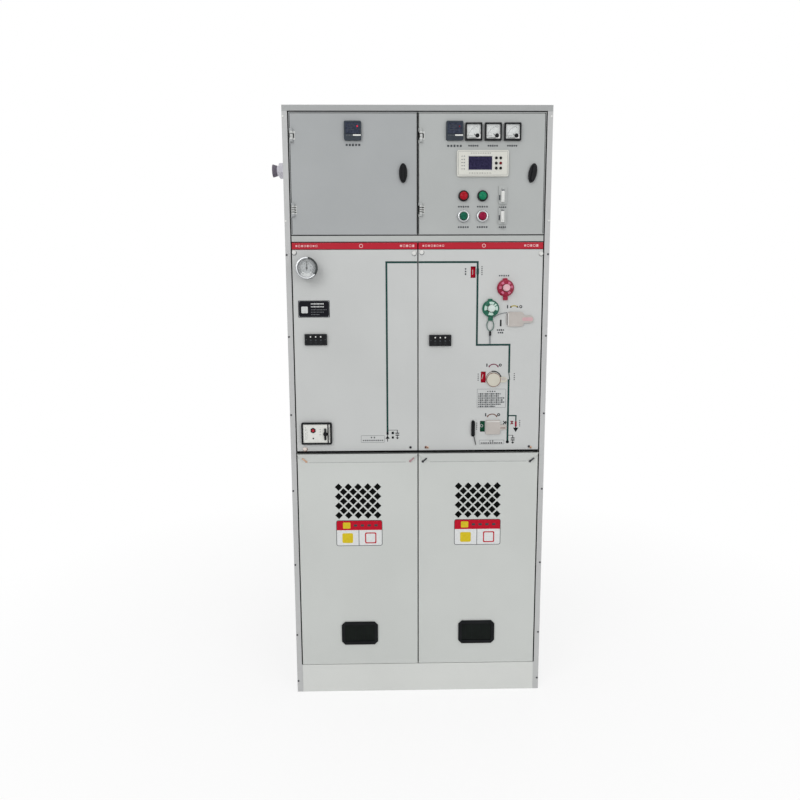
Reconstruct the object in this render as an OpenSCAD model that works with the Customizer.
// Two-bay 24 kV ring main unit: a cable bay on the left, a vacuum breaker bay on the right.
// Origin: floor level, middle of the floor bolt pattern. +X right, +Y into the cabinet, +Z up.

/* [Cabinet] */
// Width of one bay
unit_w = 420; // [400:5:460]
// Width of the front flange of a side panel
flange_w = 20; // [18:1:26]
// Depth from the front sheets to the rear sheet
cab_d = 900; // [860:10:1000]
// Thickness of the folded sheets
sheet = 2; // [1.5:0.25:2.5]
// Depth of the folded edge behind a door, panel or cover
fold_d = 18; // [14:1:20]
// Gap between neighbouring doors, panels and covers
door_gap = 4; // [3:0.5:6]

/* [Heights] */
// Height of the plinth
plinth_h = 104; // [90:2:120]
// Height of the cable cover zone
cover_zone_h = 788; // [760:2:820]
// Height of the mechanism panel zone
panel_zone_h = 686; // [670:2:700]
// Height of the red header strips
header_h = 21; // [18:1:24]
// Height of the rail under the low-voltage doors
rail_h = 24; // [20:1:28]
// Height of the low-voltage compartment opening
lv_h = 390; // [380:2:420]
// Height of the roof edge
roof_h = 20; // [16:1:24]

/* [Cable cover] */
// Height of the flared grip lip at the top of a cover
lip_h = 32; // [24:1:36]
// How far the lip's edge stands out of the front
lip_out = 16; // [10:1:20]
// Pitch of the diamond vents
vent_pitch = 34; // [32:1:38]
// Width of a diamond across its corners
vent_diagonal = 27; // [20:1:29]
// Diamonds in the long rows of the vent
vent_columns = 5; // [3:1:7]
// Long rows of diamonds in the vent
vent_rows = 4; // [2:1:5]
// Width of the viewing window's frame
window_w = 130; // [110:2:150]
// Height of the viewing window's frame
window_h = 86; // [70:2:100]

/* [Gas tank] */
// Height of the tank's underside above the floor
tank_z = 620; // [600:5:640]
// Gap between the tank and the header strips
tank_air = 22; // [18:1:30]
// Distance from the front sheets to the tank
tank_setback = 250; // [240:5:270]
// Free depth between the tank and the rear sheet
tank_rear_room = 60; // [50:5:80]
// Thickness of the tank wall
tank_wall = 3; // [2.5:0.5:4]
// Distance between the three cable bushings of a bay
bushing_pitch = 120; // [118:1:125]
// Height of the cable bushings above the tank's underside
bushing_up = 100; // [90:5:110]

/* [Operating shafts] */
// Radius of the isolator, earthing and charging shafts
shaft_r = 12; // [10:0.5:13]
// Corner radius of the hexagonal drive end of a shaft
hex_r = 9; // [8:0.5:10]
// Radius of the breaker main shaft
breaker_shaft_r = 9; // [8:0.5:10]
// Angle that the breaker shaft turns from closed to open
breaker_angle = 28; // [24:1:32]
// Length of the switch blades
blade_len = 90; // [80:1:95]
// Teeth on the charging ratchet wheel
ratchet_teeth = 24; // [18:1:30]

/* [Cables] */
// Bore of a cable grommet
grommet_bore_r = 30; // [26:1:34]
// Radius of the hole in the floor plate for a grommet
floor_hole_r = 45; // [42:1:48]
// Distance from the front sheets to the row of cables
cable_setback = 150; // [140:5:160]
// Radius of the floor bolt holes
floor_bolt_r = 7; // [6:0.5:8]

/* [Low-voltage devices] */
// Side of an ammeter's square face
meter_side = 55; // [50:1:60]
// Distance between the ammeters
meter_pitch = 63.5; // [62:0.5:66]
// Width of the protection relay's face
relay_w = 168; // [160:2:176]
// Height of the protection relay's face
relay_h = 82; // [76:2:90]
// Radius of a push-button lens
button_r = 12; // [10:0.5:13]
// Travel of a push-button
button_travel = 4; // [3:0.5:5]

/* [Hidden] */
// Clearances
seat = 0.3;
run_fit = 0.05;
over = 1;
round_fn = 64;
small_fn = 32;

// Middle of a bay: -1 left, 1 right
function bay_x(unit) = unit * unit_w / 2;

// Cabinet levels and faces
cab_w = 2 * (unit_w + flange_w);
front_y = -cab_d / 2;
back_y = cab_d / 2;
z_cover = plinth_h + sheet;
z_panel = plinth_h + cover_zone_h;
z_header = z_panel + panel_zone_h;
z_rail = z_header + header_h;
z_lv = z_rail + rail_h;
z_roof = z_lv + lv_h;
cab_h = z_roof + roof_h;
half_gap = door_gap / 2;
side_in = cab_w / 2 - sheet;
panel_gap_low = 3.5;
cover_gap_top = 5;

// Frame sections
post_w = flange_w - 2 * sheet;
post_d = 40;
post_wall = 2;
post_z = plinth_h + sheet;
post_in = side_in - post_w;
mid_post_w = 30;
rail_air = 6;
rail_set = fold_d + rail_air;
panel_rail_set = fold_d + seat;
rail_d = 40;
header_d = 15;
lower_rail_h = 60;
top_rail_h = 46;
tank_rail_w = 40;
tank_rail_h = 30;

// Plinth channels
plinth_flange = 50;
plinth_wall = 3;
bolt_end = 70;
bolt_x = cab_w / 2 - bolt_end;
bolt_y = cab_d / 2 - plinth_flange / 2;

// Tank faces, phases and bushings
tank_side_air = 5;
tank_w = 2 * (unit_w - tank_side_air);
tank_front = front_y + tank_setback;
tank_back = back_y - tank_rear_room;
tank_h = z_header - tank_air - tank_z;
pole_shares = [0.195, 0.5, 0.805];
function pole_y(i) = tank_front + pole_shares[i] * (tank_back - tank_front);
function bushing_x(unit, i) = bay_x(unit) + (i - 1) * bushing_pitch;
bushing_z = tank_z + bushing_up;
bushing_flange_r = 44;
bushing_flange_t = 8;
bushing_neck_r = 31;
bushing_base_r = 35;
bushing_tip_r = 28;
bushing_len = 90;
bushing_thread_r = 8;
bushing_thread_len = 40;
stem_r = 12;
boss_wall = 8;
boss_len = 20;
bar_t = 10;
bar_w = 30;

// Centres on the breaker bay's panel, X from the middle of the cabinet, Z above the floor
isolator_dx = 48.5;
isolator_x = bay_x(1) + isolator_dx;
isolator_up = 248;
isolator_z = z_panel + isolator_up;
earthing_dx = 48.5;
earthing_x = bay_x(1) + earthing_dx;
earthing_up = 83;
earthing_z = z_panel + earthing_up;
charging_dx = 124;
charging_x = bay_x(1) + charging_dx;
charging_up = 453;
charging_z = z_panel + charging_up;
breaker_dx = 52;
breaker_x = bay_x(1) + breaker_dx;
breaker_up = 610;
breaker_z = z_panel + breaker_up;
close_dx = 84;
close_x = bay_x(1) + close_dx;
close_over_charging = 104;
close_up = charging_up + close_over_charging;
close_z = z_panel + close_up;
open_dx = 35;
open_x = bay_x(1) + open_dx;
open_over_charging = 36;
open_up = charging_up + open_over_charging;
open_z = z_panel + open_up;

// Position flags: window size, and where its middle lies from the shaft
flag_window_w = 17;
flag_window_h = 38;
flag_set = 14;
flag_t = 2;
iso_flag_dx = -35;
iso_flag_dz = 9;
earth_flag_dx = -35.5;
earth_flag_dz = 3;
breaker_flag_r = 77;
flag_in_r = 22;
flag_out_r = 52;
flag_a0 = 130;
flag_a1 = 303;
flag_spoke_w = 6;
flag_spoke_turn = 8;
flag_spare_turn = 2;
mask_turn = 60;

// Operating holes, their covers and the drive ends behind them
drive_hole_r = 17;
drive_set = 12;
hex_len = 50;
cover_air = 0.6;
hole_cover_t = 5;
round_cover_r = 24.5;
cover_arm_w = 18;
cover_pin_r = 4;
charging_reach = 44;
isolator_reach = 37;
earthing_reach = 38;
charging_arm_w = 25;
charging_cover_dx = 5;

// Mechanism frame
mech_front = 70;
mech_rear = 200;
mech_plate_t = 3;
mech_dx0 = 85;
mech_x0 = bay_x(1) - mech_dx0;
mech_dx1 = 192;
mech_x1 = bay_x(1) + mech_dx1;
mech_up0 = 33;
mech_z0 = z_panel + mech_up0;
mech_up1 = 653;
mech_z1 = z_panel + mech_up1;
spacer_r = 8;
sight_r = 30;

// Charging wheel and cam
ratchet_r = 40;
ratchet_t = 8;
tooth_rise_share = 0.85;
tooth_depth_share = 0.1;
cam_gap = 24;
charging_cam_t = 12;
charging_cam_r = 26;
charging_cam_throw = 9;

// Switch blades and the forks that they turn into
blade_hub_r = 18;
blade_hub_len = 30;
jaw_air = 0.6;
jaw_hold = 14;
jaw_floor = 3;
link_bar_up = 40;
link_bar_z = bushing_z + link_bar_up;

// Breaker lever, interrupters and contact rods
lever_r = 20;
lever_pin_r = 3;
lever_t = 4;
lever_wall = 3;
lift = 2 * lever_r * sin(breaker_angle / 2);
rod_x = breaker_x - lever_r * cos(breaker_angle / 2);
rod_r = 8;
vi_r = 32;
vi_wall = 6;
vi_up = 368;
vi_z = z_panel + vi_up;
vi_h = 150;
vi_cap_h = 10;
vi_cap_edge = 2;
bus_z = vi_z + vi_h + bar_w;
contact_r = 20;
contact_t = 8;
eye_w = 14;
eye_t = 10;
eye_h = 26;
eye_air_x = 1.4;
eye_air_z = 0.15;
pull_rod_r = 11;
pull_rod_gap = 20;

// Low-voltage doors
lock_up = 197;
lock_z = z_lv + lock_up;
lock_left_dx = 161.5;
lock_left_x = bay_x(-1) + lock_left_dx;
lock_right_dx = 166.5;
lock_right_x = bay_x(1) + lock_right_dx;
lock_knob_w = 27;
lock_knob_h = 61;
lock_knob_t = 14;
lock_grip_share = 0.8;
lock_tilt = -10;
lock_stem_r = 6;
cam_air = 6;
cam_set = rail_set + cam_air;
cam_t = 3;
cam_w = 16;
cam_bite = 8;
hinge_r = 5.5;
hinge_pin_r = 3;
hinge_h = 26;
hinge_ear_h = 8;
hinge_out = 3;
hinge_inset = 8;
hinge_top_up = 315;
hinge_top_z = z_lv + hinge_top_up;
hinge_low_up = 81;
hinge_low_z = z_lv + hinge_low_up;
hinge_arm_t = 5;

// Devices on the low-voltage doors
device_out = 8;
device_body_d = 60;
controller_w = 56;
controller_h = 60;
controller_up = 329;
controller_z = z_lv + controller_up;
controller_left_dx = 1.5;
controller_left_x = bay_x(-1) - controller_left_dx;
controller_right_dx = 90.5;
controller_right_x = bay_x(1) - controller_right_dx;
meter_dx = 29;
meter_x = bay_x(1) - meter_dx;
meter_up = 326;
meter_z = z_lv + meter_up;
meter_cut_r = 24;
meter_dial_set = 5;
needle_len = 33;
needle_w = 1.6;
needle_t = 0.6;
needle_gap = 1;
relay_dx = 2;
relay_x = bay_x(1) + relay_dx;
relay_up = 227;
relay_z = z_lv + relay_up;
relay_rim = 5;
relay_screen_shares = [-0.28, 0.18, -0.25, 0.27];
relay_key_shares = [[0.26, 0.2], [0.26, 0], [0.26, -0.19], [0.345, 0.2], [0.345, 0], [0.345, -0.19]];
relay_key_r = 3.8;
lamp_r = 17;
lamp_out = 12;
lamp_shares = [[1, 0.4], [0.8, 0.6], [0.6, 0.9], [0, 1]];
lamp_up = 125;
lamp_z = z_lv + lamp_up;
button_up = 60;
button_z = z_lv + button_up;
device_dx1 = 59.5;
device_x1 = bay_x(1) - device_dx1;
device_dx2 = 3;
device_x2 = bay_x(1) + device_dx2;
bezel_r = 20;
bezel_out = 9;
contact_block_r = 11;
button_out = 6;
link_dx = 69.5;
link_x = bay_x(1) + link_dx;
link_up1 = 110;
link_z1 = z_lv + link_up1;
link_up2 = 46;
link_z2 = z_lv + link_up2;
link_len = 36;
link_w = 13;
link_t = 5;
link_pad_w = 26;
link_pad_h = 58;
link_pad_t = 5;
link_stud_r = 3;
link_end = 6.6;
link_air = 1.2;

// Devices on the mechanism panels
gauge_dx = 156;
gauge_x = bay_x(-1) - gauge_dx;
gauge_up = 622;
gauge_z = z_panel + gauge_up;
gauge_r = 35.5;
gauge_out = 40;
gauge_dial_r = 30;
gauge_dial_set = 5;
gauge_tube_r = 6;
gauge_needle_len = 23;
indicator_w = 75;
indicator_h = 38;
indicator_out = 7;
indicator_left_dx = 135;
indicator_left_x = bay_x(-1) - indicator_left_dx;
indicator_right_dx = 135;
indicator_right_x = bay_x(1) - indicator_right_dx;
indicator_z_left_up = 387.5;
indicator_z_left = z_panel + indicator_z_left_up;
indicator_z_right_up = 383;
indicator_z_right = z_panel + indicator_z_right_up;
indicator_lens_r = 4;
indicator_lens_pitch = 17;
fault_dx = 139;
fault_x = bay_x(-1) - fault_dx;
fault_up = 66;
fault_z = z_panel + fault_up;
fault_w = 104;
fault_h = 76;
fault_out = 9;
fault_rim = 6;
fault_button_dx = -12;
fault_button_dz = 11;
fault_button_r = 7;
fault_button_gap = 5;
fault_knob_dx = 30;
fault_knob_dz = -2;
fault_knob_w = 13;
fault_knob_t = 5;
fault_knob_h = 44;
collar_r = 28;
collar_out = 14;
collar_bore_r = 13;
collar_step = 4;
collar_foot_share = 0.4;
padlock_r = 3;
plunger_r = 11.5;
plunger_out = 30;
plunger_stem_r = 8;
plunger_travel = 8;
tab_w = 15;
tab_len = 12;
interlock_dx = 20;
interlock_x = bay_x(1) - interlock_dx;
interlock_up = 79;
interlock_z = z_panel + interlock_up;
interlock_slot_w = 8;
interlock_slot_h = 56;
interlock_len = 30;
interlock_grip = 4;
interlock_tilt = 12;

// Low-voltage tray and its rails
lv_depth = 350;
din_w = 35;
din_d = 8;
din_len = 350;
din_up1 = 132;
din_z1 = z_lv + din_up1;
din_up2 = 267;
din_z2 = z_lv + din_up2;
terminal_h = 46;
terminal_d = 42;
terminal_pitch = 12;
terminal_count = 24;
terminal_slot = 1;

// Cable compartment
clamp_rail_up = 226;
clamp_rail_z = plinth_h + clamp_rail_up;
clamp_rail_h = 40;
clamp_rail_d = 25;
clamp_r = 44;
clamp_bore_r = 31;
clamp_w = 30;
clamp_step = 4;
earth_bar_up = 86;
earth_bar_z = plinth_h + earth_bar_up;
earth_bar_t = 6;
earth_bar_h = 30;
earth_bar_set = 240;
earth_hole_r = 5.5;
grommet_flange_r = 52;
grommet_h = 50;
grommet_rim = 5;
ct_in_r = 46;
ct_out_r = 58;
ct_len = 38;
window_cut_share = 0.14;
window_up = 121;
window_z = plinth_h + window_up;
window_out = 4;
vent_down = 177;
vent_z = z_panel - vent_down;
lip_mitre = 20;
gland_up = 222;
gland_z = z_lv + gland_up;
gland_set = 75;
gland_bore_r = 11;
gland_thread_r = 16;
gland_out = 46;
gland_nut_r = 23;
gland_nut_t = 10;
gland_neck_r = 19;
gland_cap_r = 25;

// Moves to a point of the front plane; the child's Z points out of the front and its Y points up
module front(x, z, set = 0) {
    translate([x, front_y + set, z]) rotate([90, 0, 0]) children();
}

// A rod along Y that starts behind the front plane by set and runs back by len
module rod_back(x, z, set, len, r, fn = round_fn) {
    front(x, z, set + len) cylinder(r = r, h = len, $fn = fn);
}

// A box between two heights, two sides and two distances behind the front plane
module slab(x0, x1, set0, set1, z0, z1) {
    translate([x0, front_y + set0, z0]) cube([x1 - x0, set1 - set0, z1 - z0]);
}

// A sheet with folded edges all round, open at the back
module folded_sheet(x0, x1, z0, z1) {
    difference() {
        slab(x0, x1, 0, fold_d, z0, z1);
        slab(x0 + sheet, x1 - sheet, sheet, fold_d + over, z0 + sheet, z1 - sheet);
    }
}

// A rectangle with rounded corners, centred
module round_rect(w, h, r) {
    square([w - 2 * r, h], center = true);
    square([w, h - 2 * r], center = true);
    for (i = [-1, 1], j = [-1, 1])
        translate([i * (w / 2 - r), j * (h / 2 - r)]) circle(r = r, $fn = small_fn);
}

// A square-cut hole through the front sheet
module front_cut(x, z, w, h) {
    front(x, z, sheet + over) linear_extrude(sheet + 2 * over) square([w, h], center = true);
}

// A round hole through the front sheet
module front_bore(x, z, r) {
    front(x, z, sheet + over) cylinder(r = r, h = sheet + 2 * over, $fn = round_fn);
}

// Structure

module plinth_channel(len) {
    translate([-len / 2, 0, 0]) difference() {
        cube([len, plinth_flange, plinth_h]);
        translate([-over, plinth_wall, plinth_wall])
            cube([len + 2 * over, plinth_flange, plinth_h - 2 * plinth_wall]);
    }
}

module plinth() {
    side_len = cab_d - 2 * plinth_flange - 2 * seat;
    color([0.80, 0.81, 0.80]) {
        for (turn = [0, 180]) rotate([0, 0, turn]) difference() {
            translate([0, front_y, 0]) plinth_channel(2 * (unit_w - seat));
            for (i = [-1, 1]) translate([i * bolt_x, -bolt_y, -over])
                cylinder(r = floor_bolt_r, h = plinth_wall + 2 * over, $fn = round_fn);
        }
        for (turn = [90, -90]) rotate([0, 0, turn])
            translate([0, -side_in, 0]) plinth_channel(side_len);
    }
}

module tube_post(x0, x1, set0, set1, z0, z1) {
    difference() {
        slab(x0, x1, set0, set1, z0, z1);
        slab(x0 + post_wall, x1 - post_wall, set0 + post_wall, set1 - post_wall, z0 - over, z1 + over);
    }
}

// A channel across the cabinet between the posts, open at the back
module rail(set0, set1, z0, z1) {
    difference() {
        slab(-post_in + seat, post_in - seat, set0, set1, z0, z1);
        slab(-post_in, post_in, set0 + post_wall, set1 + over, z0 + post_wall, z1 - post_wall);
    }
}

// Slot in a post that a lock's cam turns into
module cam_slot(x_lock, x_face) {
    reach = x_face + cam_bite - x_lock;
    rise = sqrt(reach * reach - pow(x_face - x_lock, 2)) + cam_w;
    slab(x_face - over, x_face + post_wall + over, cam_set - over, cam_set + cam_t + over,
        lock_z - cam_w / 2 - over, lock_z + rise);
}

module cabinet_frame() {
    roof_in = cab_h - sheet;
    post_top = roof_in;
    color([0.72, 0.74, 0.75]) {
        difference() {
            for (side = [-1, 1], y = [sheet, cab_d - sheet - post_d])
                tube_post(side > 0 ? post_in : -side_in, side > 0 ? side_in : -post_in,
                    y, y + post_d, post_z, post_top);
            cam_slot(lock_right_x, post_in);
        }
        difference() {
            union() {
                tube_post(-mid_post_w / 2, mid_post_w / 2, panel_rail_set, panel_rail_set + rail_d,
                    post_z, z_panel - lower_rail_h / 2);
                tube_post(-mid_post_w / 2, mid_post_w / 2, panel_rail_set, panel_rail_set + rail_d,
                    z_panel + lower_rail_h / 2, z_header);
                tube_post(-mid_post_w / 2, mid_post_w / 2, rail_set, rail_set + rail_d,
                    z_lv, roof_in - top_rail_h);
            }
            cam_slot(lock_left_x, -mid_post_w / 2);
        }
        difference() {
            slab(-unit_w + seat, unit_w - seat, 0, rail_d, z_header, z_lv);
            slab(-unit_w, unit_w, -over, header_d, z_header - over, z_rail);
            slab(-unit_w, unit_w, header_d + post_wall, rail_d + over, z_header + post_wall,
                z_lv - post_wall);
        }
        rail(panel_rail_set, panel_rail_set + rail_d, z_panel - lower_rail_h / 2, z_panel + lower_rail_h / 2);
        rail(rail_set, rail_set + rail_d, roof_in - top_rail_h, roof_in);
        rail(cab_d - sheet - post_d, cab_d - sheet, roof_in - top_rail_h, roof_in);
        for (side = [-1, 1])
            slab(side > 0 ? side_in - tank_rail_w : -side_in,
                side > 0 ? side_in : -side_in + tank_rail_w,
                sheet + post_d + seat, cab_d - sheet - post_d - seat,
                tank_z - tank_rail_h, tank_z);
    }
}

module side_sheet() {
    linear_extrude(z_roof) polygon([[-cab_w / 2, front_y], [-unit_w, front_y],
        [-unit_w, front_y + sheet], [-side_in, front_y + sheet],
        [-side_in, back_y - sheet], [-unit_w, back_y - sheet],
        [-unit_w, back_y], [-cab_w / 2, back_y]]);
}

module side_panels() {
    color([0.86, 0.87, 0.87]) {
        difference() {
            side_sheet();
            translate([-side_in + over, front_y + gland_set, gland_z]) rotate([0, -90, 0])
                cylinder(r = gland_thread_r + seat, h = sheet + 2 * over, $fn = round_fn);
        }
        mirror([1, 0, 0]) side_sheet();
    }
}

module roof_panel() {
    color([0.86, 0.87, 0.87]) difference() {
        slab(-cab_w / 2, cab_w / 2, 0, cab_d, z_roof, cab_h);
        slab(-side_in, side_in, sheet, cab_d - sheet, z_roof - over, cab_h - sheet);
    }
}

module rear_panel() {
    color([0.82, 0.83, 0.83])
        slab(-unit_w + half_gap, unit_w - half_gap, cab_d - sheet, cab_d,
            z_cover, z_roof - half_gap);
}

// Low-voltage compartment

module lv_tray() {
    set0 = sheet + post_d + seat;
    color([0.80, 0.81, 0.81]) {
        slab(-side_in + seat, side_in - seat, set0, lv_depth, z_lv - sheet, z_lv);
        slab(-side_in + seat, side_in - seat, lv_depth - sheet, lv_depth,
            z_lv - sheet, cab_h - sheet - seat);
        slab(-sheet / 2, sheet / 2, rail_set + rail_d + seat, lv_depth,
            z_lv - sheet, cab_h - sheet - seat);
    }
}

module din_row(x, z) {
    row_w = terminal_count * terminal_pitch;
    back = lv_depth - sheet;
    slab(x - din_len / 2, x + din_len / 2, back - din_d, back, z - din_w / 2, z + din_w / 2);
    difference() {
        slab(x - row_w / 2, x + row_w / 2, back - din_d - terminal_d, back - din_d,
            z - terminal_h / 2, z + terminal_h / 2);
        for (i = [1:terminal_count - 1])
            slab(x - row_w / 2 + i * terminal_pitch - terminal_slot / 2,
                x - row_w / 2 + i * terminal_pitch + terminal_slot / 2,
                back - din_d - terminal_d - over, back - din_d - terminal_d / 2,
                z - terminal_h / 2 - over, z + terminal_h / 2 + over);
    }
}

module terminal_rails() {
    color([0.55, 0.57, 0.58])
        for (side = [-1, 1], z = [din_z1, din_z2]) din_row(bay_x(side), z);
}

module hinge_place(x_edge) {
    for (z = [hinge_low_z, hinge_top_z]) translate([x_edge + hinge_inset, front_y - hinge_out, z])
        children();
}

left_door_x0 = -unit_w + half_gap;
left_door_x1 = -half_gap;
right_door_x0 = half_gap;
right_door_x1 = unit_w - half_gap;
door_z0 = z_lv + half_gap;
door_z1 = z_roof - half_gap;

module door_hinges() {
    pin_len = hinge_h + 2 * hinge_ear_h;
    left_arm = left_door_x0 + hinge_inset + post_in - seat;
    color([0.75, 0.76, 0.78]) {
        hinge_place(left_door_x0) {
            cylinder(r = hinge_r, h = hinge_h, center = true, $fn = small_fn);
            cylinder(r = hinge_pin_r, h = pin_len, center = true, $fn = small_fn);
            translate([-hinge_arm_t / 2, 0, -hinge_h / 2])
                cube([hinge_arm_t, hinge_out + 2 * hinge_arm_t, hinge_h]);
            translate([-left_arm, hinge_out + hinge_arm_t, -hinge_h / 2])
                cube([left_arm, hinge_arm_t, hinge_h]);
        }
        hinge_place(right_door_x0) {
            cylinder(r = hinge_r, h = hinge_h, center = true, $fn = small_fn);
            cylinder(r = hinge_pin_r, h = pin_len, center = true, $fn = small_fn);
            translate([-hinge_arm_t / 2, 0, -hinge_h / 2])
                cube([hinge_arm_t, hinge_out + rail_set - seat, hinge_h]);
        }
    }
}

module lv_door(x0, x1) {
    notch = hinge_h / 2 + half_gap;
    difference() {
        union() {
            folded_sheet(x0, x1, door_z0, door_z1);
            hinge_place(x0) for (s = [-1, 1])
                translate([0, 0, s * (hinge_h / 2 + seat + (hinge_ear_h - seat) / 2)])
                    cylinder(r = hinge_r, h = hinge_ear_h - seat, center = true, $fn = small_fn);
        }
        hinge_place(x0) {
            translate([-hinge_inset - over, -hinge_out, -hinge_h / 2 - seat])
                cube([2 * hinge_inset + over, fold_d + 3 * hinge_out, hinge_h + 2 * seat]);
            cylinder(r = hinge_pin_r + run_fit, h = 2 * notch + 2 * hinge_ear_h, center = true,
                $fn = round_fn);
        }
    }
}

module lv_door_left() {
    color([0.70, 0.71, 0.72]) difference() {
        lv_door(left_door_x0, left_door_x1);
        front_cut(controller_left_x, controller_z, controller_w - 2 * relay_rim, controller_h - 2 * relay_rim);
        front_bore(lock_left_x, lock_z, lock_stem_r + run_fit);
    }
}

module lv_door_right() {
    pad_z1 = link_z1 + link_len / 2;
    pad_z2 = link_z2 + link_len / 2;
    color([0.70, 0.71, 0.72]) difference() {
        union() {
            lv_door(right_door_x0, right_door_x1);
            for (z = [pad_z1, pad_z2]) front(link_x, z)
                linear_extrude(link_pad_t) round_rect(link_pad_w, link_pad_h, link_stud_r);
            for (z = [link_z1, link_z2], up = [0, link_len]) front(link_x, z + up)
                cylinder(r = link_stud_r, h = link_pad_t + link_t + 2 * seat, $fn = small_fn);
        }
        front_cut(controller_right_x, controller_z, controller_w - 2 * relay_rim, controller_h - 2 * relay_rim);
        for (i = [0:2]) front_bore(meter_x + i * meter_pitch, meter_z, meter_cut_r);
        front_cut(relay_x, relay_z, relay_w - 2 * relay_rim, relay_h - 2 * relay_rim);
        for (x = [device_x1, device_x2], z = [lamp_z, button_z]) front_bore(x, z, contact_block_r);
        front_bore(lock_right_x, lock_z, lock_stem_r + run_fit);
    }
}

// A panel device: a face frame on the sheet and a body through its cut-out
module controller(x) {
    color([0.12, 0.12, 0.13]) {
        difference() {
            front(x, controller_z) linear_extrude(device_out)
                round_rect(controller_w, controller_h, relay_rim);
            slab(x - controller_w / 2 + relay_rim, x + controller_w / 2 - relay_rim,
                -device_out - over, -device_out + sheet,
                controller_z - controller_h / 6, controller_z + controller_h / 2 - relay_rim);
        }
        slab(x - controller_w / 2 + relay_rim + seat, x + controller_w / 2 - relay_rim - seat,
            0, device_body_d, controller_z - controller_h / 2 + relay_rim + seat,
            controller_z + controller_h / 2 - relay_rim - seat);
    }
}

module controller_left() { controller(controller_left_x); }

module controller_right() { controller(controller_right_x); }

// A rotary lock: an oval knob, a stem and a cam that a quarter turn brings into the post
module door_lock(x, x_face, tilt) {
    reach = x_face + cam_bite - x;
    color([0.06, 0.06, 0.07]) {
        front(x, lock_z) rotate([0, 0, tilt]) {
            linear_extrude(lock_knob_t / 2) scale([lock_knob_w / lock_knob_h, 1])
                circle(d = lock_knob_h, $fn = round_fn);
            translate([0, 0, lock_knob_t / 2]) linear_extrude(lock_knob_t / 2)
                round_rect(lock_stem_r, lock_knob_h * lock_grip_share, lock_stem_r / 3);
        }
        rod_back(x, lock_z, 0, cam_set, lock_stem_r);
        slab(x - cam_w / 2, x + cam_w / 2, cam_set, cam_set + cam_t, lock_z - cam_w / 2, lock_z + reach);
    }
}

module lock_left() { door_lock(lock_left_x, -mid_post_w / 2, 0); }

module lock_right() { door_lock(lock_right_x, post_in, lock_tilt); }

module ammeters() {
    cap = meter_side / 4;
    color([0.10, 0.10, 0.11]) for (i = [0:2]) {
        x = meter_x + i * meter_pitch;
        difference() {
            union() {
                front(x, meter_z) linear_extrude(device_out) round_rect(meter_side, meter_side, sheet);
                rod_back(x, meter_z, 0, device_body_d, meter_cut_r - seat);
            }
            slab(x - meter_side / 2 + sheet, x + meter_side / 2 - sheet,
                -device_out - over, -device_out + meter_dial_set,
                meter_z - meter_side / 2 + sheet, meter_z + meter_side / 2 - sheet);
        }
        slab(x + meter_side / 2 - sheet - cap, x + meter_side / 2 - sheet,
            -device_out, -device_out + sheet,
            meter_z - meter_side / 2 + sheet, meter_z - meter_side / 2 + sheet + cap);
    }
}

// Rests at zero, pointing left, and swings up to full scale
module ammeter_needle(i) {
    x = meter_x + i * meter_pitch + meter_side / 2 - sheet - meter_side / 8;
    z = meter_z - meter_side / 2 + sheet + meter_side / 8;
    color([0.75, 0.1, 0.1]) {
        slab(x - needle_len, x, -device_out + sheet + needle_gap, -device_out + sheet + needle_gap + needle_t,
            z - needle_w / 2, z + needle_w / 2);
        front(x, z, -device_out + meter_dial_set - seat)
            cylinder(r = 2 * needle_w, h = sheet, $fn = small_fn);
    }
}

module ammeter_needle_1() { ammeter_needle(0); }

module ammeter_needle_2() { ammeter_needle(1); }

module ammeter_needle_3() { ammeter_needle(2); }

module protection_relay() {
    color([0.90, 0.91, 0.91]) {
        difference() {
            front(relay_x, relay_z) linear_extrude(device_out) round_rect(relay_w, relay_h, relay_rim);
            slab(relay_x + relay_w * relay_screen_shares[0], relay_x + relay_w * relay_screen_shares[1],
                -device_out - over, -device_out + sheet,
                relay_z + relay_h * relay_screen_shares[2], relay_z + relay_h * relay_screen_shares[3]);
        }
        for (k = relay_key_shares)
            front(relay_x + relay_w * k[0], relay_z + relay_h * k[1], -device_out)
                cylinder(r = relay_key_r, h = sheet, $fn = small_fn);
        slab(relay_x - relay_w / 2 + relay_rim + seat, relay_x + relay_w / 2 - relay_rim - seat,
            0, 2 * device_body_d, relay_z - relay_h / 2 + relay_rim + seat,
            relay_z + relay_h / 2 - relay_rim - seat);
    }
}

// Two signal lamps, and the rings and contact blocks of the two push-buttons
module signal_lamps() {
    color([0.25, 0.26, 0.27]) {
        for (x = [device_x1, device_x2]) front(x, lamp_z, device_body_d) rotate_extrude($fn = round_fn)
            polygon(concat([[0, 0], [contact_block_r - seat, 0], [contact_block_r - seat, device_body_d],
                [lamp_r, device_body_d]],
                [for (p = lamp_shares) [lamp_r * p[0], device_body_d + lamp_out * p[1]]]));
        for (x = [device_x1, device_x2]) front(x, button_z, device_body_d) rotate_extrude($fn = round_fn)
            polygon([[0, 0], [contact_block_r - seat, 0], [contact_block_r - seat, device_body_d],
                [bezel_r, device_body_d], [bezel_r, device_body_d + bezel_out / 2],
                [bezel_r - sheet, device_body_d + bezel_out],
                [button_r + seat, device_body_d + bezel_out], [button_r + seat, device_body_d + sheet / 2],
                [0, device_body_d + sheet / 2]]);
    }
}

module push_button(x, tint) {
    len = bezel_out + button_out - button_travel - sheet;
    color(tint) front(x, button_z, -sheet / 2 - button_travel - seat) rotate_extrude($fn = round_fn)
        polygon([[0, 0], [button_r, 0], [button_r, len - sheet], [button_r - sheet, len], [0, len]]);
}

module push_button_green() { push_button(device_x1, [0.1, 0.5, 0.25]); }

module push_button_red() { push_button(device_x2, [0.7, 0.1, 0.12]); }

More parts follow.
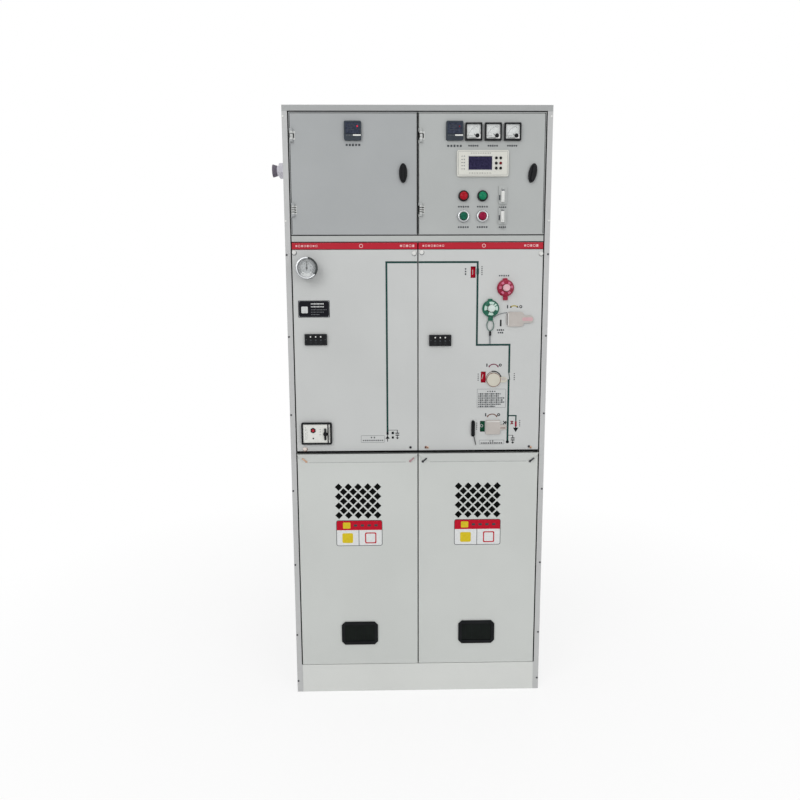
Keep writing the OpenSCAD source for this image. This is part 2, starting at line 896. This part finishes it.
// A link bar that turns on its lower stud; its open notch takes the upper stud
module test_link(z) {
    color([0.92, 0.92, 0.90]) front(link_x, z, -link_pad_t - seat) difference() {
        translate([0, link_len / 2, 0])
            linear_extrude(link_t)
                round_rect(link_w, link_len + 2 * link_end, sheet);
        translate([0, 0, -over]) cylinder(r = link_stud_r + run_fit, h = link_t + 2 * over, $fn = round_fn);
        translate([-link_w, link_len - link_stud_r - link_air, -over])
            cube([link_w + link_stud_r + seat, 2 * (link_stud_r + link_air), link_t + 2 * over]);
    }
}

module test_link_upper() { test_link(link_z1); }

module test_link_lower() { test_link(link_z2); }

// Mechanism panels and what they carry

module panel_blank(x0, x1) {
    folded_sheet(x0, x1, z_panel + panel_gap_low, z_header - half_gap);
}

module mechanism_panel_left() {
    color([0.76, 0.77, 0.77]) difference() {
        panel_blank(left_door_x0, left_door_x1);
        front_bore(gauge_x, gauge_z, gauge_tube_r + seat);
        front_cut(indicator_left_x, indicator_z_left, indicator_w - fault_rim, indicator_h - fault_rim);
        front_cut(fault_x, fault_z, fault_w - 2 * fault_rim, fault_h - 2 * fault_rim);
    }
}

module mechanism_panel_right() {
    color([0.76, 0.77, 0.77]) difference() {
        panel_blank(right_door_x0, right_door_x1);
        front_cut(indicator_right_x, indicator_z_right, indicator_w - fault_rim, indicator_h - fault_rim);
        front_bore(charging_x, charging_z, drive_hole_r);
        front_bore(isolator_x, isolator_z, drive_hole_r);
        front_bore(earthing_x, earthing_z, drive_hole_r);
        front_bore(close_x, close_z, plunger_stem_r + seat);
        front_bore(open_x, open_z, plunger_stem_r + seat);
        front_cut(isolator_x + iso_flag_dx, isolator_z + iso_flag_dz, flag_window_w, flag_window_h);
        front_cut(earthing_x + earth_flag_dx, earthing_z + earth_flag_dz, flag_window_w, flag_window_h);
        front_cut(breaker_x - breaker_flag_r, breaker_z, flag_window_w, flag_window_h);
        front_cut(interlock_x, interlock_z, interlock_slot_w, interlock_slot_h);
        front_bore(charging_x + charging_reach, charging_z, cover_pin_r - seat + run_fit);
        front_bore(isolator_x + isolator_reach, isolator_z, cover_pin_r - seat + run_fit);
        front_bore(earthing_x + earthing_reach, earthing_z, cover_pin_r - seat + run_fit);
    }
}

module header_strips() {
    color([0.77, 0.12, 0.18]) for (x0 = [left_door_x0, right_door_x0]) difference() {
        slab(x0, x0 + unit_w - door_gap, 0, header_d, z_header, z_rail);
        slab(x0 + sheet, x0 + unit_w - door_gap - sheet, sheet, header_d + over,
            z_header + sheet, z_rail - sheet);
    }
}

module gas_gauge() {
    tube_len = tank_setback + tank_wall;
    color([0.75, 0.76, 0.77]) {
        front(gauge_x, gauge_z, -gauge_out / 2) rotate_extrude($fn = round_fn)
            polygon([[0, 0], [gauge_r - sheet, 0], [gauge_r - sheet, gauge_out / 2 - 3 * sheet],
                [gauge_r, gauge_out / 2 - 2 * sheet], [gauge_r, gauge_out / 2],
                [gauge_dial_r, gauge_out / 2], [gauge_dial_r, gauge_out / 2 - gauge_dial_set],
                [0, gauge_out / 2 - gauge_dial_set]]);
        front(gauge_x, gauge_z, 0) cylinder(r = gauge_tube_r * 2, h = gauge_out / 2, $fn = small_fn);
        rod_back(gauge_x, gauge_z, 0, tube_len, gauge_tube_r);
    }
}

module gauge_needle() {
    dial = -gauge_out + gauge_dial_set;
    color([0.75, 0.1, 0.1]) {
        slab(gauge_x - needle_w / 2, gauge_x + needle_w / 2, dial - 2 * needle_w, dial - needle_w,
            gauge_z - gauge_needle_len / 3, gauge_z + gauge_needle_len);
        front(gauge_x, gauge_z, dial - seat) cylinder(r = 2 * needle_w, h = 2 * needle_w, $fn = small_fn);
    }
}

module voltage_indicator(x, z) {
    slab(x - indicator_w / 2 + sheet * 2, x + indicator_w / 2 - sheet * 2, 0, device_body_d / 2,
        z - indicator_h / 2 + sheet * 2, z + indicator_h / 2 - sheet * 2);
    front(x, z) linear_extrude(indicator_out) round_rect(indicator_w, indicator_h, sheet);
    for (i = [-1, 0, 1]) front(x + i * indicator_lens_pitch, z + indicator_h / 4, -indicator_out)
        cylinder(r = indicator_lens_r, h = sheet, $fn = small_fn);
}

module voltage_indicators() {
    color([0.07, 0.07, 0.08]) {
        voltage_indicator(indicator_left_x, indicator_z_left);
        voltage_indicator(indicator_right_x, indicator_z_right);
    }
}

module fault_indicator() {
    knob_x = fault_x + fault_knob_dx;
    color([0.90, 0.90, 0.89]) difference() {
        union() {
            front(fault_x, fault_z) linear_extrude(fault_out) round_rect(fault_w, fault_h, fault_rim);
            slab(fault_x - fault_w / 2 + fault_rim + seat, fault_x + fault_w / 2 - fault_rim - seat,
                0, device_body_d, fault_z - fault_h / 2 + fault_rim + seat,
                fault_z + fault_h / 2 - fault_rim - seat);
        }
        slab(fault_x - fault_w / 2 + fault_rim, fault_x + fault_w / 2 - fault_rim,
            -fault_out - over, -fault_out + sheet,
            fault_z - fault_h / 2 + fault_rim, fault_z + fault_h / 2 - fault_rim);
        front(fault_x + fault_button_dx, fault_z + fault_button_dz, fault_out)
            cylinder(r = fault_button_r + seat, h = 2 * fault_out, $fn = round_fn);
        front(knob_x, fault_z + fault_knob_dz, fault_out)
            cylinder(r = fault_button_r / 2 + run_fit, h = 2 * fault_out, $fn = round_fn);
    }
}

module fault_reset_button() {
    len = 2 * fault_out - fault_button_gap;
    color([0.75, 0.1, 0.12])
        front(fault_x + fault_button_dx, fault_z + fault_button_dz, fault_out - fault_button_gap)
            rotate_extrude($fn = round_fn) polygon([[0, 0], [fault_button_r, 0],
                [fault_button_r, len - sheet / 2], [fault_button_r - sheet / 2, len], [0, len]]);
}

module fault_knob() {
    color([0.08, 0.08, 0.09]) front(fault_x + fault_knob_dx, fault_z + fault_knob_dz, fault_out - seat) {
        cylinder(r = fault_button_r / 2, h = 2 * fault_out, $fn = round_fn);
        translate([0, 0, 2 * fault_out]) linear_extrude(fault_knob_t)
            round_rect(fault_knob_w, fault_knob_h, fault_knob_w / 3);
    }
}

// Guard collars round the breaker's two push-buttons, each with a padlock tab
module button_collar(x, z) {
    foot = collar_out * collar_foot_share;
    difference() {
        union() {
            front(x, z) rotate_extrude($fn = round_fn)
                polygon([[plunger_stem_r + seat, 0], [collar_r, 0], [collar_r, foot],
                    [collar_r - collar_step, collar_out - foot / 2], [collar_bore_r + collar_step, collar_out],
                    [collar_bore_r, collar_out], [collar_bore_r, sheet], [plunger_stem_r + seat, sheet]]);
            front(x, z - collar_r - tab_len / 2 + sheet) linear_extrude(foot)
                square([tab_w, tab_len], center = true);
            front(x - sheet, z + collar_r) linear_extrude(foot)
                square([tab_w, 2 * sheet], center = true);
        }
        front(x, z - collar_r - tab_len / 2, over) cylinder(r = padlock_r, h = collar_out, $fn = small_fn);
    }
}

module button_collars() {
    color([0.70, 0.10, 0.20]) button_collar(close_x, close_z);
    color([0.05, 0.38, 0.28]) button_collar(open_x, open_z);
}

module plunger(x, z, tint) {
    color(tint) front(x, z, mech_front - plunger_travel - seat) rotate_extrude($fn = round_fn) {
        len = mech_front - plunger_travel - seat;
        polygon([[0, 0], [plunger_stem_r, 0],
            [plunger_stem_r, len + sheet + plunger_travel + seat],
            [plunger_r, len + sheet + plunger_travel + seat],
            [plunger_r, len + plunger_out - sheet], [plunger_r - sheet, len + plunger_out],
            [0, len + plunger_out]]);
    }
}

module close_button() { plunger(close_x, close_z, [0.93, 0.75, 0.78]); }

module open_button() { plunger(open_x, open_z, [0.85, 0.93, 0.90]); }

// Covers of the operating holes; each swings on a pin in the panel
module hole_cover_arm(x, z, reach, w, tint) {
    color(tint) {
        front(x, z, -cover_air) linear_extrude(hole_cover_t) {
            children();
            translate([reach / 2, 0]) square([reach, w], center = true);
            translate([reach, 0]) circle(d = w, $fn = small_fn);
        }
        front(x + reach, z, sheet + seat)
            cylinder(r = cover_pin_r - seat, h = sheet + seat + cover_air + over, $fn = round_fn);
    }
}

module charging_cover() {
    hole_cover_arm(charging_x, charging_z, charging_reach, charging_arm_w, [0.78, 0.76, 0.72])
        translate([-charging_cover_dx, 0])
            round_rect(2 * (round_cover_r + charging_cover_dx), 2 * round_cover_r, round_cover_r / 2);
}

module isolator_cover() {
    hole_cover_arm(isolator_x, isolator_z, isolator_reach, cover_arm_w, [0.80, 0.77, 0.69])
        circle(r = round_cover_r, $fn = round_fn);
}

module earthing_cover() {
    hole_cover_arm(earthing_x, earthing_z, earthing_reach, cover_arm_w, [0.79, 0.76, 0.70])
        round_rect(2 * round_cover_r, 2 * round_cover_r, sheet);
}

module interlock_lever() {
    w = interlock_slot_w - 2 * seat;
    z0 = interlock_z - interlock_slot_h / 2;
    color([0.06, 0.06, 0.07]) {
        slab(interlock_x - w / 2, interlock_x + w / 2, -interlock_grip, sheet + interlock_grip,
            z0 + seat, z0 + interlock_len);
        slab(interlock_x - 2 * w, interlock_x + 2 * w, sheet + seat, sheet + interlock_grip,
            z0 - interlock_grip, z0 + interlock_len + interlock_grip);
        front(interlock_x + w / 2, z0, -sheet) rotate([0, 0, interlock_tilt])
            translate([-sheet / 2, -interlock_len, 0]) cube([sheet, interlock_len + interlock_grip, sheet]);
    }
}

// Operating mechanism behind the breaker bay's panel

module mechanism_frame() {
    color([0.66, 0.68, 0.66]) difference() {
        union() {
            for (set = [mech_front, mech_rear])
                slab(mech_x0, mech_x1, set, set + mech_plate_t, mech_z0, mech_z1);
            for (x = [mech_x0 + 2 * spacer_r, mech_x1 - 2 * spacer_r],
                    z = [mech_z0 + 2 * spacer_r, (mech_z0 + mech_z1) / 2, mech_z1 - 2 * spacer_r])
                rod_back(x, z, mech_front, tank_setback - mech_front, spacer_r, small_fn);
        }
        for (c = [[isolator_x, isolator_z], [earthing_x, earthing_z], [charging_x, charging_z]])
            rod_back(c[0], c[1], mech_front - over, mech_rear - mech_front + mech_plate_t + 2 * over,
                shaft_r + run_fit);
        rod_back(breaker_x, breaker_z, mech_front - over,
            mech_rear - mech_front + mech_plate_t + 2 * over, breaker_shaft_r + run_fit);
        for (c = [[mech_x0 + 3 * sight_r, (isolator_z + charging_z) / 2],
                [mech_x1 - 3 * sight_r, (isolator_z + earthing_z) / 2]])
            rod_back(c[0], c[1], mech_front - over, mech_plate_t + 2 * over, sight_r);
    }
}

// A flat sector: a hub, and a band between two radii over an arc
module flag_sector(hub_r, r0, r1, a0, a1) {
    circle(r = hub_r, $fn = small_fn);
    difference() {
        circle(r = r1, $fn = round_fn);
        circle(r = r0, $fn = round_fn);
        arc_mask(a1, a0 + 360, 2 * r1);
    }
    for (a = [a0 + flag_spoke_turn, (a0 + a1) / 2, a1 - flag_spoke_turn]) rotate(a)
        translate([0, -flag_spoke_w / 2]) square([r0 + sheet, flag_spoke_w]);
}

// Everything between two angles out to a radius
module arc_mask(a0, a1, r) {
    steps = ceil((a1 - a0) / mask_turn);
    polygon(concat([[0, 0]], [for (i = [0:steps]) let (a = a0 + (a1 - a0) * i / steps)
        [r * cos(a), r * sin(a)]]));
}

module drive_end(x, z) {
    rod_back(x, z, drive_set, hex_len, hex_r, 6);
}

module switch_shaft(x, z, blade_angle) {
    len = tank_back - tank_wall - seat - front_y - drive_set - hex_len;
    drive_end(x, z);
    front(x, z, flag_set + flag_t) linear_extrude(flag_t)
        flag_sector(shaft_r, flag_in_r, flag_out_r, flag_a0, flag_a1);
    rod_back(x, z, drive_set + hex_len, len, shaft_r);
    for (i = [0:2]) front(x, z, pole_y(i) - front_y) {
        translate([0, 0, -blade_hub_len / 2]) cylinder(r = blade_hub_r, h = blade_hub_len, $fn = round_fn);
        rotate([0, 0, blade_angle]) translate([0, -bar_t, -bar_t / 2])
            cube([blade_len, 2 * bar_t, bar_t]);
    }
}

module isolator_shaft() { color([0.72, 0.45, 0.30]) switch_shaft(isolator_x, isolator_z, 90); }

module earthing_shaft() { color([0.72, 0.45, 0.30]) switch_shaft(earthing_x, earthing_z, 0); }

module breaker_shaft() {
    front_set = flag_set - sheet;
    len = tank_back - tank_wall - seat - front_y - front_set;
    half = breaker_angle / 2;
    color([0.62, 0.63, 0.64]) {
        rod_back(breaker_x, breaker_z, front_set, len, breaker_shaft_r);
        front(breaker_x, breaker_z, flag_set + flag_t) linear_extrude(flag_t)
            flag_sector(2 * breaker_shaft_r, breaker_flag_r - flag_window_w,
                breaker_flag_r + flag_window_w, 180 - half - flag_spare_turn, 180 + 3 * half + flag_spare_turn);
        for (i = [0:2], s = [-1, 1])
            front(breaker_x, breaker_z,
                pole_y(i) - front_y + s * (eye_t / 2 + seat + lever_t / 2) + lever_t / 2)
                linear_extrude(lever_t) rotate(180 + half) {
                    circle(r = breaker_shaft_r + lever_wall, $fn = small_fn);
                    translate([0, -2 * lever_pin_r]) square([lever_r, 4 * lever_pin_r]);
                    translate([lever_r, 0]) circle(r = 2 * lever_pin_r, $fn = small_fn);
                }
        for (i = [0:2]) front(rod_x, breaker_z - lift / 2, pole_y(i) - front_y + (eye_t + lever_t) / 2)
            cylinder(r = lever_pin_r, h = eye_t + lever_t, $fn = small_fn);
    }
}

module contact_rods() {
    pin_z = breaker_z - lift / 2;
    contact_z = vi_z + vi_cap_h + vi_h / 3 + contact_t;
    rod_top = pin_z - eye_h / 2 + over;
    color([0.78, 0.50, 0.32]) for (i = [0:2]) translate([rod_x, pole_y(i), 0]) {
        translate([0, 0, contact_z + seat]) cylinder(r = contact_r, h = contact_t, $fn = round_fn);
        translate([0, 0, contact_z + seat]) cylinder(r = rod_r, h = rod_top - contact_z, $fn = round_fn);
        translate([0, 0, vi_z + vi_h + pull_rod_gap])
            cylinder(r = pull_rod_r, h = rod_top - vi_z - vi_h - pull_rod_gap, $fn = small_fn);
        difference() {
            translate([-eye_w / 2, -eye_t / 2, pin_z - eye_h / 2]) cube([eye_w, eye_t, eye_h]);
            translate([-lever_pin_r - eye_air_x, -eye_t, pin_z - lever_pin_r - eye_air_z])
                cube([2 * (lever_pin_r + eye_air_x), 2 * eye_t, 2 * (lever_pin_r + eye_air_z)]);
        }
    }
}

// A ratchet wheel: one tooth repeated round the rim
module ratchet_profile(r, teeth) {
    step = 360 / teeth;
    polygon([for (i = [0:teeth - 1], part = [0, 1])
        let (a = i * step + part * step * tooth_rise_share, rr = r * (1 - (1 - part) * tooth_depth_share))
        [rr * cos(a), rr * sin(a)]]);
}

module charging_shaft() {
    wheel_set = (mech_front + mech_rear) / 2;
    color([0.60, 0.62, 0.64]) {
        drive_end(charging_x, charging_z);
        rod_back(charging_x, charging_z, drive_set + hex_len,
            mech_rear + 2 * mech_plate_t - drive_set - hex_len, shaft_r);
        front(charging_x, charging_z, wheel_set) linear_extrude(ratchet_t)
            ratchet_profile(ratchet_r, ratchet_teeth);
        front(charging_x, charging_z, wheel_set + cam_gap) linear_extrude(charging_cam_t) {
            translate([charging_cam_throw, 0]) circle(r = charging_cam_r, $fn = round_fn);
            circle(r = charging_cam_r - charging_cam_throw / 2, $fn = round_fn);
        }
    }
}

// Sealed tank and its conductors

module gas_tank() {
    color([0.68, 0.70, 0.72]) difference() {
        union() {
            difference() {
                translate([-tank_w / 2, tank_front, tank_z]) cube([tank_w, tank_back - tank_front, tank_h]);
                translate([-tank_w / 2 + tank_wall, tank_front + tank_wall, tank_z + tank_wall])
                    cube([tank_w - 2 * tank_wall, tank_back - tank_front - 2 * tank_wall,
                        tank_h - 2 * tank_wall]);
            }
            for (c = [[isolator_x, isolator_z], [earthing_x, earthing_z], [breaker_x, breaker_z]])
                translate([c[0], tank_back - tank_wall, c[1]]) rotate([90, 0, 0])
                    cylinder(r = shaft_r + boss_wall, h = boss_len, $fn = round_fn);
        }
        for (unit = [-1, 1], i = [0:2])
            rod_back(bushing_x(unit, i), bushing_z, tank_setback - over, tank_wall + 2 * over,
                bushing_neck_r + seat);
        for (c = [[isolator_x, isolator_z], [earthing_x, earthing_z]])
            rod_back(c[0], c[1], tank_setback - over, tank_back - tank_wall - tank_front + over,
                shaft_r + run_fit);
        rod_back(breaker_x, breaker_z, tank_setback - over,
            tank_back - tank_wall - tank_front + over, breaker_shaft_r + run_fit);
        rod_back(gauge_x, gauge_z, tank_setback - over, tank_wall + 2 * over, gauge_tube_r + seat);
    }
}

module cable_bushing(unit, i) {
    stem_len = pole_y(i) - bar_t / 2 - tank_front;
    difference() {
        translate([bushing_x(unit, i), tank_front, bushing_z]) rotate([90, 0, 0])
            rotate_extrude($fn = round_fn) polygon([[0, -stem_len], [stem_r, -stem_len],
                [stem_r, -2 * bushing_flange_t], [bushing_neck_r, -2 * bushing_flange_t],
                [bushing_neck_r, 0], [bushing_flange_r, 0], [bushing_flange_r, bushing_flange_t],
                [bushing_base_r, bushing_flange_t], [bushing_tip_r, bushing_flange_t + bushing_len],
                [0, bushing_flange_t + bushing_len]]);
        translate([bushing_x(unit, i), tank_front - bushing_flange_t - bushing_len + bushing_thread_len, bushing_z])
            rotate([90, 0, 0]) cylinder(r = bushing_thread_r, h = bushing_thread_len + over, $fn = round_fn);
    }
}

module cable_bushings() {
    color([0.45, 0.20, 0.14]) for (unit = [-1, 1], i = [0:2]) cable_bushing(unit, i);
}

module current_transformers() {
    color([0.20, 0.22, 0.25]) for (i = [0:2])
        translate([bushing_x(1, i), tank_front, bushing_z]) rotate([90, 0, 0]) difference() {
            cylinder(r = ct_out_r, h = ct_len, $fn = round_fn);
            translate([0, 0, -over]) cylinder(r = ct_in_r, h = ct_len + 2 * over, $fn = round_fn);
        }
}

// A bar of the tank's conductors between two points of one phase's plane
module bar(x0, x1, z0, z1) {
    translate([min(x0, x1), -bar_t / 2, min(z0, z1)])
        cube([abs(x1 - x0), bar_t, abs(z1 - z0)]);
}

// The fork that a switch blade turns into: dir 1 opens downwards, dir -1 upwards
module jaw(tip_z, dir) {
    w = 3 * bar_t;
    z0 = dir > 0 ? tip_z - jaw_hold : tip_z - over - jaw_floor;
    z1 = dir > 0 ? tip_z + over + jaw_floor : tip_z + jaw_hold;
    cut_z = dir > 0 ? z0 - over : tip_z - over;
    difference() {
        translate([-w / 2, -bar_t, z0]) cube([w, 2 * bar_t, z1 - z0]);
        translate([-w, -bar_t / 2 - jaw_air, cut_z])
            cube([2 * w, bar_t + 2 * jaw_air, z1 - z0 - jaw_floor + over]);
    }
}

module busbars() {
    iso_tip = isolator_z + blade_len;
    earth_tip = earthing_z - blade_len;
    riser_x = isolator_x - 2 * bar_w;
    link_z1 = link_bar_z + 2 * stem_r;
    color([0.75, 0.45, 0.28]) for (i = [0:2]) translate([0, pole_y(i), 0]) {
        // Left bay: riser and main bus to the vacuum interrupter's moving contact
        bar(bushing_x(-1, i) - bar_w / 2, bushing_x(-1, i) + bar_w / 2, bushing_z - stem_r, bus_z);
        bar(bushing_x(-1, i) - bar_w / 2, rod_x - vi_r, bus_z - bar_w, bus_z);
        bar(rod_x - vi_r - over, rod_x - pull_rod_r - bar_t / 2, bus_z - bar_w, bus_z - bar_w + bar_t / 2);
        // Interrupter's fixed end down to the isolator's fork
        bar(rod_x - bar_w / 2, isolator_x + bar_w / 2, iso_tip + over + jaw_floor - sheet, vi_z);
        translate([isolator_x, 0, 0]) jaw(iso_tip, 1);
        // Isolator's hub down to the cable side
        bar(riser_x, riser_x + bar_t, link_bar_z, isolator_z + bar_t);
        bar(riser_x, isolator_x - blade_hub_r - jaw_air, isolator_z - bar_t, isolator_z + bar_t);
        bar(riser_x, isolator_x - bar_w / 2 + over, earth_tip - over - jaw_floor, earth_tip + jaw_floor);
        translate([isolator_x, 0, 0]) jaw(earth_tip, -1);
        bar(min(riser_x, bushing_x(1, i) - bar_w / 2), max(riser_x + bar_t, bushing_x(1, i) + bar_w / 2),
            link_bar_z, link_z1);
        bar(bushing_x(1, i) - bar_w / 2, bushing_x(1, i) + bar_w / 2, bushing_z - stem_r, link_z1);
    }
}

module vacuum_interrupters() {
    fixed_z = vi_z + vi_cap_h + vi_h / 3;
    color([0.92, 0.91, 0.88]) for (i = [0:2]) translate([rod_x, pole_y(i), 0])
        rotate_extrude($fn = round_fn) polygon([[0, vi_z], [vi_r, vi_z], [vi_r, vi_z + vi_cap_h],
            [vi_r - vi_cap_edge, vi_z + vi_cap_h], [vi_r - vi_cap_edge, vi_z + vi_h - vi_cap_h],
            [vi_r, vi_z + vi_h - vi_cap_h],
            [vi_r, vi_z + vi_h - seat], [rod_r + run_fit, vi_z + vi_h - seat],
            [rod_r + run_fit, vi_z + vi_h - vi_cap_h], [vi_r - vi_wall, vi_z + vi_h - vi_cap_h],
            [vi_r - vi_wall, vi_z + vi_cap_h], [rod_r, vi_z + vi_cap_h], [rod_r, fixed_z],
            [contact_r, fixed_z], [contact_r, fixed_z + contact_t], [0, fixed_z + contact_t]]);
}

// Cable compartment

module cable_x_places() {
    for (unit = [-1, 1], i = [0:2]) translate([bushing_x(unit, i), front_y + cable_setback, 0]) children();
}

module cable_floor_plate() {
    color([0.78, 0.79, 0.80]) difference() {
        slab(-side_in + seat, side_in - seat, fold_d + seat + sheet, cab_d - sheet - seat,
            plinth_h, plinth_h + sheet);
        cable_x_places() translate([0, 0, plinth_h - over])
            cylinder(r = floor_hole_r, h = sheet + 2 * over, $fn = round_fn);
    }
}

module cable_grommets() {
    groove = floor_hole_r - seat;
    top = plinth_h + sheet + seat;
    low = plinth_h - seat;
    color([0.15, 0.15, 0.15]) cable_x_places() rotate_extrude($fn = round_fn)
        polygon([[grommet_bore_r, low - grommet_rim], [grommet_flange_r, low - grommet_rim],
            [grommet_flange_r, low], [groove, low], [groove, top], [grommet_flange_r, top], [grommet_flange_r, top + grommet_rim],
            [grommet_bore_r + grommet_rim, top + grommet_h], [grommet_bore_r, top + grommet_h]]);
}

module cable_clamp_rail() {
    rail_set_y = cable_setback + clamp_r;
    color([0.70, 0.71, 0.72]) {
        slab(-side_in, side_in, rail_set_y, rail_set_y + clamp_rail_d, clamp_rail_z,
            clamp_rail_z + clamp_rail_h);
        difference() {
            union() cable_x_places() translate([0, 0, clamp_rail_z + (clamp_rail_h - clamp_w) / 2]) {
                cylinder(r = clamp_r - clamp_step, h = clamp_w, $fn = round_fn);
                translate([-clamp_r, 0, 0]) cube([2 * clamp_r, clamp_r, clamp_w]);
            }
            cable_x_places() translate([0, 0, clamp_rail_z - over])
                cylinder(r = clamp_bore_r, h = clamp_rail_h + 2 * over, $fn = round_fn);
        }
    }
}

module earth_bar() {
    color([0.78, 0.48, 0.30]) difference() {
        slab(-side_in, side_in, earth_bar_set, earth_bar_set + earth_bar_t,
            earth_bar_z, earth_bar_z + earth_bar_h);
        for (unit = [-1, 1], i = [-1, 0, 1])
            rod_back(bay_x(unit) + i * bushing_pitch, earth_bar_z + earth_bar_h / 2,
                earth_bar_set - over, earth_bar_t + 2 * over, earth_hole_r);
    }
}

// The grip lip: a strip bent out of the front, its ends mitred to the cover's top corners
module cover_lip(x0, x1, z0, z1) {
    intersection() {
        translate([x0, 0, 0]) rotate([90, 0, 90]) linear_extrude(x1 - x0)
            polygon([[front_y, z0], [front_y + sheet, z0], [front_y + sheet - lip_out, z1],
                [front_y - lip_out, z1]]);
        front(0, 0, 2 * sheet) linear_extrude(lip_out + 3 * sheet)
            polygon([[x0 + lip_mitre, z0], [x1 - lip_mitre, z0], [x1, z1], [x0, z1]]);
    }
    for (m = [[x0, x0 + lip_mitre], [x1, x1 - lip_mitre]]) front(0, 0, sheet) linear_extrude(sheet)
        polygon([[m[0], z0], [m[1], z0], [m[0], z1]]);
}

module vent_grid() {
    d = vent_diagonal / sqrt(2);
    for (long = [0, 1], row = [0:vent_rows - 1 - long], col = [0:vent_columns - 1 - long])
        translate([(col - (vent_columns - 1 - long) / 2) * vent_pitch,
            ((vent_rows - 1 - long) / 2 - row) * vent_pitch])
            rotate(45) square(d, center = true);
}

module window_outline(w, h) {
    cut = h * window_cut_share;
    polygon([[-w / 2 + cut, -h / 2], [w / 2 - cut, -h / 2], [w / 2, -h / 2 + cut],
        [w / 2, h / 2 - cut], [w / 2 - cut, h / 2], [-w / 2 + cut, h / 2],
        [-w / 2, h / 2 - cut], [-w / 2, -h / 2 + cut]]);
}

module cable_cover(unit, x0, x1) {
    top = z_panel - cover_gap_top;
    z1 = top - lip_h;
    color([0.78, 0.79, 0.78]) {
        difference() {
            slab(x0, x1, 0, fold_d, z_cover, z1);
            slab(x0 + sheet, x1 - sheet, sheet, fold_d + over, z_cover + sheet, z1 + over);
            front(bay_x(unit), vent_z, sheet + over) linear_extrude(sheet + 2 * over) vent_grid();
            front(bay_x(unit), window_z, sheet + over) linear_extrude(sheet + 2 * over)
                window_outline(window_w - 4 * window_out, window_h - 4 * window_out);
        }
        cover_lip(x0, x1, z1, top);
    }
}

module cable_cover_left() { cable_cover(-1, left_door_x0, left_door_x1); }

module cable_cover_right() { cable_cover(1, right_door_x0, right_door_x1); }

module cover_window(unit) {
    color([0.08, 0.08, 0.09]) {
        front(bay_x(unit), window_z) linear_extrude(window_out) difference() {
            window_outline(window_w, window_h);
            square([window_w - 6 * window_out, window_h - 6 * window_out], center = true);
        }
        front(bay_x(unit), window_z, window_out) linear_extrude(window_out)
            window_outline(window_w - 4 * window_out - 2 * seat, window_h - 4 * window_out - 2 * seat);
    }
}

module window_left() { cover_window(-1); }

module window_right() { cover_window(1); }

module cable_gland() {
    inner = sheet + 2 * gland_nut_t;
    color([0.60, 0.61, 0.63]) translate([-cab_w / 2, front_y + gland_set, gland_z]) rotate([0, -90, 0])
        difference() {
            union() {
                translate([0, 0, -inner]) cylinder(r = gland_thread_r, h = inner, $fn = round_fn);
                translate([0, 0, -sheet - gland_nut_t]) cylinder(r = gland_nut_r, h = gland_nut_t, $fn = 6);
                cylinder(r = gland_nut_r, h = gland_nut_t, $fn = 6);
                translate([0, 0, gland_nut_t])
                    cylinder(r = gland_neck_r, h = gland_out - 2 * gland_nut_t, $fn = round_fn);
                translate([0, 0, gland_out - gland_nut_t])
                    cylinder(r1 = gland_neck_r, r2 = gland_cap_r, h = gland_nut_t, $fn = round_fn);
            }
            translate([0, 0, -inner - over])
                cylinder(r = gland_bore_r, h = gland_out + inner + 2 * over, $fn = round_fn);
        }
}

plinth();
cabinet_frame();
side_panels();
roof_panel();
rear_panel();
lv_tray();
terminal_rails();
cable_floor_plate();
cable_grommets();
cable_clamp_rail();
earth_bar();
mechanism_panel_left();
mechanism_panel_right();
header_strips();
gas_tank();
cable_bushings();
current_transformers();
busbars();
vacuum_interrupters();
mechanism_frame();
voltage_indicators();
gas_gauge();
fault_indicator();
button_collars();
cable_gland();
door_hinges();
lv_door_left();
controller_left();
lock_left();
lv_door_right();
controller_right();
lock_right();
ammeters();
ammeter_needle_1();
ammeter_needle_2();
ammeter_needle_3();
protection_relay();
signal_lamps();
push_button_green();
push_button_red();
test_link_upper();
test_link_lower();
gauge_needle();
close_button();
open_button();
charging_cover();
isolator_cover();
earthing_cover();
isolator_shaft();
earthing_shaft();
breaker_shaft();
contact_rods();
charging_shaft();
interlock_lever();
fault_reset_button();
fault_knob();
cable_cover_left();
cable_cover_right();
window_left();
window_right();
